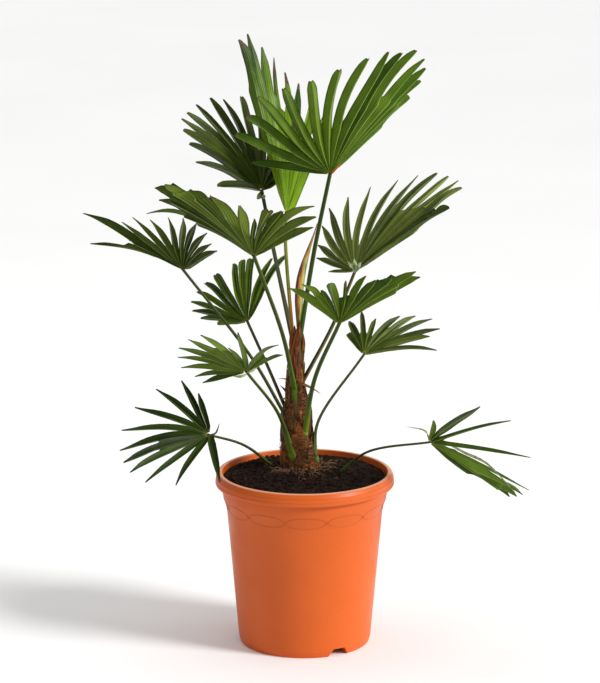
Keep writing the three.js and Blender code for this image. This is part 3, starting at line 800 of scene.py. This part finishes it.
# Fronds: the frame's own rule. facing and rise aim the middle line, roll tips it, cup lifts the
# sides, sag bends the ends down. Each finger is (angle, length). Places are in millimetres.
# What a frond doesn't say is taken from here.
usualFrond = {
    "clasp": None,      # leaf base on the trunk: drop, spread, share that stays green
    "claspEnd": 0.3,    # share of the stalk that widens to its foot
    "flare": 1.3,       # width at the foot, times the stalk's
    "joined": 0.42,     # share of its length that a finger is joined to the next
    "webs": {},         # the same for single fingers
    "pleat": 1.25,      # depth of a finger's fold
    "fade": 0.16,       # how much paler the knot is than the tips
    "thin": {},         # width of single fingers, times the usual
    "starts": {},       # angle at the knot where it isn't evenly spread
    "broad": (),        # fingers with a blunt end
    "dryRows": {},      # rows of faces that are dry at a tip
    "folds": (),        # small folded or dried leaflets: kind, half width, places from the knot
}
fronds = [
    dict(name="youngest", foot=(-24, 11, 452), bend=(-28, 14, 600), knot=(-27, 15, 642), stout=3.8,
         facing=125, rise=69, roll=-33, cup=0.2, sag=0.03, wide=20,
         fingers=[(8, 268), (0, 277), (-9, 262), (-17, 255), (-24, 243), (-33, 246), (-42, 242), (-50, 249)],
         dark=(38, 62, 4), light=(114, 148, 18), stalkFoot=(168, 96, 24), stalkTop=(112, 124, 30),
         flare=1.25, joined=0.6, pleat=1.05, blunt=0.6, webs={0: 0.8, 1: 0.6, 2: 0.7, 3: 0.66, 4: 0.5},
         fade=0.7, thin={3: 0.5, 4: 0.7}, dryRows={0: 5, 3: 7, 4: 5, 5: 4}),
    dict(name="back_left", foot=(-21, 33, 440), bend=(-46, 54, 580), knot=(-63, 70, 664), stout=3.6,
         facing=135, rise=57, roll=-9, cup=0.35, sag=0.14, wide=13.5,
         fingers=[(84, 153), (68, 172), (55, 170), (46, 180), (38, 186), (30, 180), (18, 178), (4, 181),
                  (-5, 176), (-18, 190), (-27, 190), (-40, 170), (-53, 140), (-68, 80)],
         dark=(26, 38, 6), light=(80, 96, 20), stalkFoot=(60, 50, 26), stalkTop=(50, 56, 28),
         clasp=(36, 1.2, 0.2), joined=0.36, blunt=0.7,
         folds=[("pale", 4, (0, 0, 0), (-3, -5, -6), (-7, -6, -11)),
                ("pale", 3, (0, 0, 0), (3, -5, -5), (2, -6, -11))]),
    dict(name="front_left", foot=(-16, 2, 378), bend=(-32, -48, 475), knot=(-72, -110, 604), stout=3.6,
         facing=-81, rise=52, roll=19, cup=0.68, sag=0.29, wide=17.5,
         fingers=[(-102, 258), (-82, 192), (-64, 200), (-53, 196), (-43, 165), (-32, 147), (-15, 129),
                  (-5, 95), (4, 135), (11, 143), (19, 205), (28, 158), (38, 120)],
         dark=(38, 56, 12), light=(102, 120, 38), stalkFoot=(70, 102, 20), stalkTop=(60, 72, 24),
         clasp=(48, 1.25, 0.5), blunt=0.3,
         webs={0: 0.6, 1: 0.66, 2: 0.92, 3: 0.88, 4: 0.84, 5: 0.3, 6: 0.3, 7: 0.3, 8: 0.36},
         thin={0: 0.6, 7: 0.5}, broad=(8,), dryRows={5: 4}),
    dict(name="far_left", foot=(-35, 12, 339), bend=(-79, -16, 436), knot=(-175, -50, 572), stout=3.5,
         facing=-122, rise=46, roll=-10, cup=-0.24, sag=0.12, wide=11,
         fingers=[(-44, 146), (-22, 202), (-14, 146), (-5, 153), (4, 142), (16, 158), (24, 171), (31, 170),
                  (38, 150), (45, 122), (52, 112)],
         dark=(26, 38, 6), light=(68, 84, 18), stalkFoot=(44, 46, 22), stalkTop=(46, 54, 22),
         clasp=(38, 1.2, 0.3), joined=0.28, blunt=0.05, webs={0: 0.55, 1: 0.5},
         starts={0: -27}, thin={1: 1.3}),
    dict(name="rear_left", foot=(-35, 26, 347), bend=(-51, 30, 401), knot=(-84, 40, 474), stout=3.4,
         facing=78, rise=32, roll=12, cup=0.28, sag=0.11, wide=12,
         fingers=[(106, 45), (87, 72), (74, 93), (62, 110), (50, 123), (40, 135), (31, 147), (19, 163),
                  (13.7, 168), (9, 166), (-3, 157), (-11, 164)],
         dark=(28, 46, 4), light=(85, 109, 14), stalkFoot=(34, 30, 18), stalkTop=(44, 38, 22),
         clasp=(38, 1.2, 0.2), joined=0.3, webs={7: 0.7, 8: 0.72, 9: 0.15}, blunt=0.8),
    dict(name="low_left", foot=(-21, -3, 278), bend=(-36, -4, 340), knot=(-84, -90, 431), stout=3.3,
         facing=-100, rise=42, roll=4, cup=-0.13, sag=0.12, wide=10.5,
         fingers=[(-107, 70), (-93, 76), (-76, 95), (-60, 107), (-46, 120), (-31, 132), (-20, 139), (-11, 80),
                  (4, 158), (27, 147), (37, 111)],
         dark=(36, 54, 14), light=(94, 116, 40), stalkFoot=(102, 126, 30), stalkTop=(52, 68, 22),
         clasp=(7, 1.6, 0.8), claspEnd=0.6, flare=2.2, joined=0.34, blunt=0.2,
         webs={5: 0.55, 7: 0.12, 8: 0.1, 9: 0.5},
         folds=[("pale", 2, (1, -5, -2), (-8, -8, -5), (-19, -7, -5)),
                ("pale", 1.6, (1, -5, 0), (8, -8, 3), (16, -7, 8))],
         thin={7: 0.8, 8: 0.8, 9: 0.62, 10: 0.6}),
    dict(name="hanging_left", foot=(-44, 24, 256), bend=(-89, -10, 300), knot=(-139, -45, 325), stout=3.1,
         facing=-133, rise=-4, roll=21, cup=0.48, sag=0.11, wide=11.5,
         fingers=[(50, 137), (25, 143), (9, 157), (-2, 157), (-10, 153), (-19, 147), (-34, 135), (-54, 120),
                  (-76, 110), (-98, 100), (-110, 70)],
         dark=(20, 36, 6), light=(56, 74, 18), stalkFoot=(56, 74, 24), stalkTop=(32, 38, 20),
         joined=0.2, blunt=0.2, webs={3: 0.6, 4: 0.56},
         folds=[("dry", 1.3, (0, 0, 0), (9, -2, 3), (15, -2, 18)),
                ("green", 3.4, (1, -1, -1), (6, -3, -9), (9, -3, -18))]),
    dict(name="hanging_right", foot=(48, 9, 250), bend=(92, -18, 292), knot=(181, -60, 318), stout=2.8,
         facing=-54, rise=15, roll=58, cup=0.34, sag=0, wide=11,
         fingers=[(-43, 52), (-18, 174), (-7, 216), (12, 203), (42, 167), (54, 156), (65, 150), (79, 150)],
         dark=(26, 46, 8), light=(90, 118, 32), stalkFoot=(72, 96, 26), stalkTop=(42, 50, 24),
         claspEnd=0.36, flare=2.9, joined=0.14, blunt=0.3, webs={4: 0.24, 5: 0.8, 6: 0.8},
         thin={2: 0.55, 3: 0.7, 4: 0.6},
         folds=[("pale", 1.2, (0, 0, 0), (-6, -2, 17), (-34, -2, 24)),
                ("pale", 2.6, (14, -10, 7), (50, -38, -6), (80, -58, -16), (120, -84, -52))]),
    dict(name="low_right", foot=(22, 14, 271), bend=(19, 12, 328), knot=(86, 0, 434), stout=3.3,
         facing=2, rise=28, roll=-12, cup=0.4, sag=0.2, wide=11.5,
         fingers=[(100, 55), (86, 90), (74, 121), (61, 90), (42, 106), (32, 120), (20, 132), (3, 128),
                  (-8, 108), (-30, 130)],
         dark=(44, 60, 12), light=(103, 118, 42), stalkFoot=(84, 114, 32), stalkTop=(50, 60, 26),
         clasp=(5, 1.3, 1.0), claspEnd=0.6, flare=1.8, blunt=0.3, webs={0: 0.9, 4: 0.55, 7: 0.6},
         thin={2: 0.7, 3: 0.7, 9: 0.7}),
    dict(name="front_right", foot=(5, -1, 312), bend=(14, -33, 404), knot=(49, -100, 504), stout=3.8,
         facing=-46, rise=45, roll=9, cup=0.59, sag=0.15, wide=14.5,
         fingers=[(-60, 136), (-51, 144), (-43, 111), (-36, 135), (-27, 141), (-17, 157), (-8, 135), (1, 144),
                  (11, 170), (28, 148)],
         dark=(40, 66, 6), light=(86, 112, 18), stalkFoot=(104, 130, 34), stalkTop=(56, 72, 28),
         clasp=(9, 1.0, 0.5), joined=0.5, blunt=0.3, webs={5: 0.5, 6: 0.88, 7: 0.88, 8: 0.75},
         thin={2: 0.6, 4: 0.35}, dryRows={4: 9, 9: 4}),
    dict(name="rear_right", foot=(3, 22, 386), bend=(42, 40, 471), knot=(74, 60, 546), stout=3.6,
         facing=36, rise=43, roll=3, cup=0.2, sag=0.09, wide=12,
         fingers=[(114, 45), (90, 86), (77, 110), (65, 150), (57, 188), (47, 194), (36, 200), (22, 201),
                  (12, 209), (2, 217), (-6, 216), (-14, 217), (-21, 211), (-31, 177)],
         dark=(42, 58, 16), light=(122, 136, 60), stalkFoot=(72, 54, 30), stalkTop=(68, 64, 34),
         clasp=(40, 1.2, 0.2), joined=0.34, blunt=0.1, webs={9: 0.55, 10: 0.6, 11: 0.66, 12: 0.8},
         thin={0: 0.5},
         folds=[("pale", 3, (-2, -3, -2), (-4, -8, 8), (-11, -9, 17)),
                ("pale", 3, (0, -3, 0), (0, -8, 10), (-2, -9, 21)),
                ("pale", 2.6, (2, -3, 0), (5, -7, 9), (9, -7, 15))], broad=(9, 10, 12, 13)),
    dict(name="top_right", foot=(-4, 3, 448), bend=(14, -28, 597), knot=(36, -60, 714), stout=3.8,
         facing=-59, rise=61, roll=-5, cup=0.6, sag=0.1, wide=15,
         fingers=[(-90, 116), (-65, 175), (-53, 196), (-43, 226), (-34, 220), (-24, 214), (-13, 222), (-2, 234),
                  (6, 243), (13, 238), (20, 244), (30, 230), (38, 217), (46, 199), (56, 176)],
         dark=(42, 70, 8), light=(94, 123, 26), stalkFoot=(56, 86, 20), stalkTop=(52, 68, 18),
         clasp=(28, 1.0, 1.3), flare=1.1, joined=0.36, blunt=1,
         webs={7: 0.4, 8: 0.5, 9: 0.53, 10: 0.58, 11: 0.62, 12: 0.68, 13: 0.76},
         folds=[("rust", 1.3, (1, -3, -1), (8, -5, 8), (15, -6, 17))]),
]

# Lengths in millimetres. A web ends before the shorter finger does, and free fingers stay apart.
blade = {
    "twist": 0.22, "bow": 1.3, "arch": (-0.008, 0.022), "start": 4, "outerFlare": 0.45,
    "webLimit": 0.93, "joinedLimit": 0.8,
    "split": 0.3, "joinedRows": 7, "columns": (-1, -0.68, -0.34, -0.09, 0.09, 0.34, 0.68, 1),
    "freeShares": (0.07, 0.15, 0.25, 0.36, 0.48, 0.6, 0.71, 0.81, 0.89, 0.94, 0.975, 0.992, 1),
    "thick": 0.45, "rib": 0.5, "notch": 1.2, "even": 0.5,
    "slots": {"green": 0, "rib": 1, "under": 2, "dry": 3, "pale": 4, "rust": 5},
    "slim": 0.32, "taperFrom": 0.55, "taperDepth": 0.8, "roundFrom": 0.95, "roundOver": 0.06,
    "dryRows": 2,
    "foldSection": [(1, 0.3), (0.5, -0.1), (0, -0.35), (-0.5, -0.1),
                    (-1, 0.3), (-0.5, 0.2), (0, -0.05), (0.5, 0.2)],
}


def fanAxes(frond):
    a, e, roll = (math.radians(frond[k]) for k in ("facing", "rise", "roll"))
    middle = Vector((math.cos(a) * math.cos(e), math.sin(a) * math.cos(e), math.sin(e)))
    level = Vector((-math.cos(a) * math.sin(e), -math.sin(a) * math.sin(e), math.cos(e)))
    left = level.cross(middle)
    upper = level * math.cos(roll) + left * math.sin(roll)
    return middle, upper.cross(middle), upper


def fanDirection(axes, cup, angle):
    middle, side, upper = axes
    lifted = upper * ((1 - math.cos(angle)) * cup)
    return (middle * math.cos(angle) + side * math.sin(angle) + lifted).normalized()


def fanPoint(frond, distance, angle, lift):
    direction = fanDirection(frond["axes"], frond["cup"], angle)
    beside = fanDirection(frond["axes"], frond["cup"], angle + 0.01) - direction
    up = direction.cross(beside).normalized()
    point = Vector(frond["knot"]) + direction * distance + up * lift
    point.z -= frond["sag"] * distance * distance / frond["longest"]
    return point * mm


# How a finger turns along its length: evenly spread at the knot, at its own angle at the tip
def turnAt(frond, i, distance):
    fingers = frond["fingers"]
    angle, length = fingers[i]
    spread = mix(fingers[0][0], fingers[-1][0], i / (len(fingers) - 1))
    start = frond["starts"].get(i, mix(angle, spread, blade["even"]))
    share = min(1, distance / length)
    return math.radians(mix(start, angle, smooth(0, 1, share)) + frond["bow"][i] * math.sin(math.pi * share))


# A leaflet's outline: nearly even, a little narrower outwards, then drawn in to a rounded point
def widthShare(share, blunt):
    slim = 1 - blade["slim"] * (1 - blunt) * smooth(0.15, 0.9, share)
    point = smooth(blade["taperFrom"] + 0.3 * blunt, 1.03, share)
    past = max(0.0, share - blade["roundFrom"]) / blade["roundOver"]
    end = math.sqrt(max(0.0, 1 - past ** 2))
    return slim * end * (1 - blade["taperDepth"] * (1 - 0.45 * blunt) * point)


# The joined rows come first, then the free ones at their shares of the free length
def freeShare(row):
    return 0 if row <= blade["joinedRows"] else blade["freeShares"][row - blade["joinedRows"] - 1]


# The margin of finger i on one side at a row: distance, turn, and whether it is shared
def edgeOf(frond, i, edge, row):
    fingers = frond["fingers"]
    length = fingers[i][1]
    order = 1 if fingers[1][0] > fingers[0][0] else -1
    j = i + edge * order
    inside = 0 <= j < len(fingers)
    otherLength = fingers[j][1] if inside else length
    web = frond["webs"].get(min(i, j)) if inside else None
    joinedShare = web or frond["joined"]
    limit = blade["webLimit"] if web else blade["joinedLimit"]
    joined = min(joinedShare * (length + otherLength) / 2, limit * min(length, otherLength))
    half = frond["wide"] / 2 * frond["thin"].get(i, 1)
    rows = blade["joinedRows"]
    share = freeShare(row)
    distance = mix(blade["start"], joined, row / rows) if row <= rows else mix(joined, length, share)
    own = turnAt(frond, i, distance)
    room = blade["outerFlare"] * distance
    if inside:
        other = turnAt(frond, j, distance)
        room = abs(other - own) / 2 * distance
        if row <= rows and (web or frond["wide"] / 2 > room):
            return distance, (own + other) / 2, True
        room -= blade["split"] * min(1, share * 5)
    width = min(half * widthShare(share, frond["bluntness"][i]), room) if row > rows else min(half, room)
    return distance, own + edge * max(width, 0.3) / distance, False


def addFinger(batch, frond, i):
    rows = blade["joinedRows"] + len(blade["freeShares"])
    length = frond["fingers"][i][1]
    twist, shade = frond["twist"][i], frond["shade"][i]
    tops, bottoms, shared = [], [], []
    for row in range(rows + 1):
        low = edgeOf(frond, i, -1, row)
        high = edgeOf(frond, i, 1, row)
        free = freeShare(row)
        notch = blade["notch"] * (1 + 0.4 * frond["bluntness"][i])
        middleDistance = (low[0] + high[0]) / 2 - (notch if row == rows else 0)
        middleTurn = turnAt(frond, i, middleDistance)
        half = (high[1] - low[1]) * (high[0] + low[0]) / 4
        depth = frond["pleat"] * abs(half) * mix(1, 0.7, smooth(0.6, 1, free))
        arch = frond["arch"][i] * length * math.sin(math.pi * free)
        top, bottom = [], []
        for c in blade["columns"]:
            distance, turn, _ = high if c > 0 else low
            reach = abs(c)
            at = mix(middleDistance, distance, reach)
            angle = mix(middleTurn, turn, reach)
            lift = depth * (reach - 0.5) + 0.1 * depth * math.sin(math.pi * reach)
            lift += twist * half * c * smooth(0, 0.5, free) + arch
            edgeThick = blade["thick"] * mix(1, 0.6, reach)
            ridge = blade["rib"] * (1 - 0.7 * free) if reach < 0.1 else 0
            values = dict(across=c, along=at * mm, shade=shade)
            top.append(addCorner(batch, fanPoint(frond, at, angle, lift + edgeThick / 2), **values))
            bottom.append(addCorner(batch, fanPoint(frond, at, angle, lift - edgeThick / 2 - ridge), **values))
        tops.append(top)
        bottoms.append(bottom)
        shared.append((low[2], high[2]))
    slots = blade["slots"]
    ribColumn = (len(blade["columns"]) - 1) // 2
    dryRows = frond["dryRows"].get(i, blade["dryRows"] + (1 if frond["dry"][i] > 0.8 else 0))

    def slotAt(row, column):
        if row >= rows - dryRows:
            return slots["dry"], slots["dry"]
        return (slots["rib"], slots["rib"]) if column == ribColumn else (slots["green"], slots["under"])

    def joined(row, side):
        return shared[row][side] and shared[row + 1][side]

    sheetFaces(batch, tops, bottoms, slotAt, joined)


# kind is upper, rib or under
def leafMaterial(frond, kind):
    name = "leaf_" + kind + "_" + frond["name"]
    gloss = 0.05 if kind == "under" else 0.12
    material, tree = startMaterial(name, Roughness=0.36, Specular_IOR_Level=gloss)
    across, along, shade = (attribute(tree, label) for label in ("across", "along", "shade"))
    dark, light = frond["dark"], frond["light"]
    if kind == "under":
        light = blend(light, (150, 165, 90), 0.14)
    veins = sums(tree, "SINE", sums(tree, "MULTIPLY", across, 30.0))
    blotch = objectNoise(tree, 38, 4)
    halfFade = frond["fade"] / 2
    fade = ranged(tree, along, 0, frond["longest"] * mm, halfFade, -halfFade)
    tone = weighted(tree, (shade, 0.42), (blotch, 0.38), (veins, 0.1), (fade, 1.0))
    green = rampOf(tree, tone, (0.1, *dark), (0.66, *light))
    # darker towards each finger's margin: painted shade, as in the creases where fingers meet
    reach = sums(tree, "ABSOLUTE", across)
    creaseShade = ranged(tree, reach, 0.74, 1.0, 0.0, 0.62)
    green = mixColour(tree, creaseShade, green, linear(*[c * 0.45 for c in dark]))
    if kind == "rib":
        green = mixColour(tree, 0.6, green, linear(*blend(light, (196, 200, 150), 0.42)))
    nearKnot = ranged(tree, along, 0.003, 0.012, 0.55, 0.0)
    green = mixColour(tree, nearKnot, green, linear(*blend(light, (196, 176, 62), 0.6)))
    return paint(material, green, veins, 0.00012, 0.5)


def plainLeaf(name, dark, light):
    material, tree = startMaterial(name, Roughness=0.6, Specular_IOR_Level=0.15)
    fine = objectNoise(tree, 300, 3)
    return paint(material, rampOf(tree, fine, (0.3, *dark), (0.7, *light)), fine, 0.0002, 0.5)


dryTip = plainLeaf("dryTip", (44, 36, 20), (106, 86, 50))
paleFold = plainLeaf("paleFold", (104, 124, 74), (178, 188, 146))
rustEdge = plainLeaf("rustEdge", (150, 62, 20), (196, 110, 40))

# Stalks: flattened, channelled above, wider and paler where they clasp the trunk
stalk = {
    "seatDepth": 2.5, "tipShare": 0.78, "flat": 0.76, "steps": 40,
    "section": [(1, 0.15), (0.86, 0.62), (0.45, 0.86), (0, 0.7), (-0.45, 0.86), (-0.86, 0.62), (-1, 0.15),
                (-0.8, -0.55), (-0.42, -0.92), (0, -1.02), (0.42, -0.92), (0.8, -0.55)],
    "toothEvery": 7, "tooth": 0.8, "toothHalf": 0.35, "toothedShare": 0.75, "toothGaps": 0.3,
    "pastKnot": 2.8, "claspGrid": (18, 10), "claspRise": 5, "claspLift": (2.6, 1.7), "claspRagged": 1.2,
    "lowestClasp": 259, "pointedAbove": 262,
}


def stalkMaterial(frond):
    name = "stalk_" + frond["name"]
    material, tree = startMaterial(name, Roughness=0.45, Specular_IOR_Level=0.15)
    along, around = attribute(tree, "along"), attribute(tree, "around")
    blur = weighted(tree, (along, 1.0), (objectNoise(tree, 60, 3, (1, 1, 0.3)), 0.3))
    foot, top = frond["stalkFoot"], frond["stalkTop"]
    base = rampOf(tree, blur, (0.12, *foot), (0.5, *top))
    paleFoot, paleTop = (blend(tone, (186, 196, 60), 0.42) for tone in (foot, top))
    pale = rampOf(tree, blur, (0.12, *paleFoot), (0.5, *paleTop))
    edge = ranged(tree, sums(tree, "ABSOLUTE", around), 0.82, 1.0, 0.0, 0.6)
    base = mixColour(tree, edge, base, pale)
    base = mixColour(tree, ranged(tree, blur, -0.3, -0.02, 0.92, 0.0), base, linear(70, 42, 20))
    fine = objectNoise(tree, 260, 3, (1, 1, 0.12))
    streaks = ranged(tree, fine, 0.4, 0.7, 0.0, 0.35)
    base = mixColour(tree, streaks, base, linear(*[c * 0.55 for c in foot]))
    return paint(material, base, fine, 0.0003, 0.6)


def stalkSeat(foot):
    x, y, z = foot
    if z < soil["heapLevel"]:
        return Vector(foot) * mm
    trunkX, trunkY, radius = trunkAt(z)
    out = Vector((x - trunkX, y - trunkY)).normalized() * (radius - stalk["seatDepth"])
    return Vector((trunkX + out.x, trunkY + out.y, z)) * mm


# The green base that wraps the trunk below a stalk's foot and fades into brown fibre
def addClasp(batch, frond):
    foot = Vector(frond["foot"])
    centreX, centreY, _ = trunkAt(foot.z)
    turn = math.atan2(foot.y - centreY, foot.x - centreX)
    drop, spread, green = frond["clasp"]
    top, bottom = foot.z + stalk["claspRise"], max(stalk["lowestClasp"], foot.z - drop)
    pointed = 0.8 if bottom > stalk["pointedAbove"] else 0.1

    def layAt(t, s):
        height = mix(top, bottom, t)
        width = frond["stout"] * mix(frond["flare"], spread, smooth(0, 0.8, t))
        width *= 1 - pointed * smooth(0.7, 1, t)
        a = turn + s * width / trunkAt(height)[2]
        arch = (1 - 0.75 * s * s) * mix(*stalk["claspLift"], smooth(0, 0.8, t))
        height += stalk["claspRagged"] * noise.noise(Vector((s * 4, foot.z, 3))) * smooth(0.8, 1, t)
        values = dict(along=-0.45 * t / green, around=s)
        # its rows run downwards, so front and back change places
        return trunkPoint(height, a, min(arch - 0.5, 0.2)), trunkPoint(height, a, arch), values

    addSheet(batch, stalk["claspGrid"], layAt)


def makeStalk(frond):
    foot = stalkSeat(frond["foot"])
    bend, knot = metres((frond["bend"], frond["knot"]))
    end = knot + (knot - bend).normalized() * (stalk["pastKnot"] * mm)
    points = [foot, bend, end]
    flat = Vector((knot.x - foot.x, knot.y - foot.y, 0)).normalized()
    across = Vector((0, 0, 1)).cross(flat)

    def sizeAt(t):
        clasp = 1 - smooth(0, frond["claspEnd"], t)
        body = mix(1, stalk["tipShare"], t)
        width = frond["stout"] * (body + clasp * (frond["flare"] - 1)) * mm
        return width, frond["stout"] * stalk["flat"] * body * mm

    batch = newBatch("along", "around")
    addLimb(batch, points, sizeAt, across, stalk["section"], stalk["steps"])
    if frond["clasp"]:
        addClasp(batch, frond)
    length = sum((curveAt(points, (k + 1) / 20) - curveAt(points, k / 20)).length for k in range(20))
    teeth = int(length / mm / stalk["toothEvery"])
    for k in range(2, int(teeth * stalk["toothedShare"])):
        t = (k + random.uniform(-0.3, 0.3)) / teeth
        centre = curveAt(points, t)
        line = (curveAt(points, t + 0.01) - centre).normalized()
        side = (across - line * across.dot(line)).normalized()
        for edge in (-1, 1):
            if random.random() < stalk["toothGaps"]:
                continue
            root = centre + side * (edge * (sizeAt(t)[0] - 0.2 * mm))
            tip = root + side * (edge * stalk["tooth"] * mm) + line * (0.5 * mm)
            addLimb(batch, [root, tip], taper(stalk["toothHalf"] * mm, 0.8), line, roundSection(4), 1)
    addPiece("stem_" + frond["name"], batch, [stalkMaterial(frond)], ["stalk_" + frond["name"]])


def makeFrond(frond):
    frond["axes"] = fanAxes(frond)
    frond["longest"] = max(length for _, length in frond["fingers"])
    count = len(frond["fingers"])

    def draws(low, high):
        return [random.uniform(low, high) for _ in range(count)]

    frond["twist"] = draws(-blade["twist"], blade["twist"])
    frond["shade"] = draws(0, 1)
    frond["bluntness"] = []
    for i in range(count):
        blunt = 0.9 if i in frond["broad"] else min(1, frond["blunt"] * random.uniform(0.5, 1.4))
        frond["bluntness"].append(blunt)
    frond["bow"] = draws(-blade["bow"], blade["bow"])
    frond["arch"] = draws(*blade["arch"])
    frond["dry"] = draws(0, 1)
    batch = newBatch("across", "along", "shade")
    for i in range(count):
        addFinger(batch, frond, i)
    for kind, half, *line in frond["folds"]:
        points = [(Vector(frond["knot"]) + Vector(offset)) * mm for offset in line]

        def foldSize(t):
            return half * mm * (0.12 + math.sin(math.pi * min(1, t * 0.9 + 0.08))), half * mm * 0.45

        addLimb(batch, points, foldSize, Vector((0.4, 0.1, -1)), blade["foldSection"], 12,
                blade["slots"][kind], shade=random.random())
    materials = [leafMaterial(frond, kind) for kind in ("upper", "rib", "under")] + [dryTip, paleFold, rustEdge]
    addPiece("fan_" + frond["name"], batch, materials, ["blade_" + frond["name"]], 32, 0.00001)


for given in fronds:
    frond = {**usualFrond, **given}
    makeStalk(frond)
    makeFrond(frond)

# Closed spear leaf: pleats pressed together round one line
spear = {
    "points": [(-9, 18, 458.8), (-6, 8, 545), (18, 3, 629)], "footWidth": 3.0, "width": 6.2, "flat": 0.7,
    "tip": 0.12, "widen": 0.35, "narrow": 0.45, "pleats": 9, "steps": 60,
}


def spearMaterial():
    material, tree = startMaterial("youngLeaf", Roughness=0.5)
    around, along = attribute(tree, "around"), attribute(tree, "along")
    streaks = objectNoise(tree, 170, 4, (1, 1, 0.08))
    side = ranged(tree, weighted(tree, (around, 1.0), (streaks, 3.0)), 0.5, 2.5)
    tone = rampOf(tree, side, (0.06, 104, 52, 20), (0.26, 168, 96, 36), (0.48, 200, 156, 70),
                  (0.72, 200, 196, 116), (0.95, 112, 132, 40))
    rust = mixColour(tree, ranged(tree, along, 0.55, 1.0, 0.0, 0.85), tone, linear(150, 92, 52))
    low = mixColour(tree, ranged(tree, along, 0.0, 0.3, 0.6, 0.0), rust, linear(120, 142, 40))
    return paint(material, low, streaks, 0.0006)


def makeSpear():
    points = metres(spear["points"])
    pleats = spear["pleats"]
    section = []
    for a in turnsOf(4 * pleats):
        ridge = 1 - 0.1 * (0.5 + 0.5 * math.cos(2 * pleats * a))
        section.append((math.cos(a) * ridge, math.sin(a) * ridge))

    def sizeAt(t):
        body = mix(spear["footWidth"], spear["width"], smooth(0, spear["widen"], t))
        width = body * mix(1, spear["tip"], smooth(spear["narrow"], 1, t))
        return width * mm, width * spear["flat"] * mm

    batch = newBatch("along", "around")
    addLimb(batch, points, sizeAt, Vector((1, 0, 0)), section, spear["steps"])
    addPiece("spear_closed", batch, [spearMaterial()], ["spear_leaf"])


makeSpear()

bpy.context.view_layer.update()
log("sizes written")
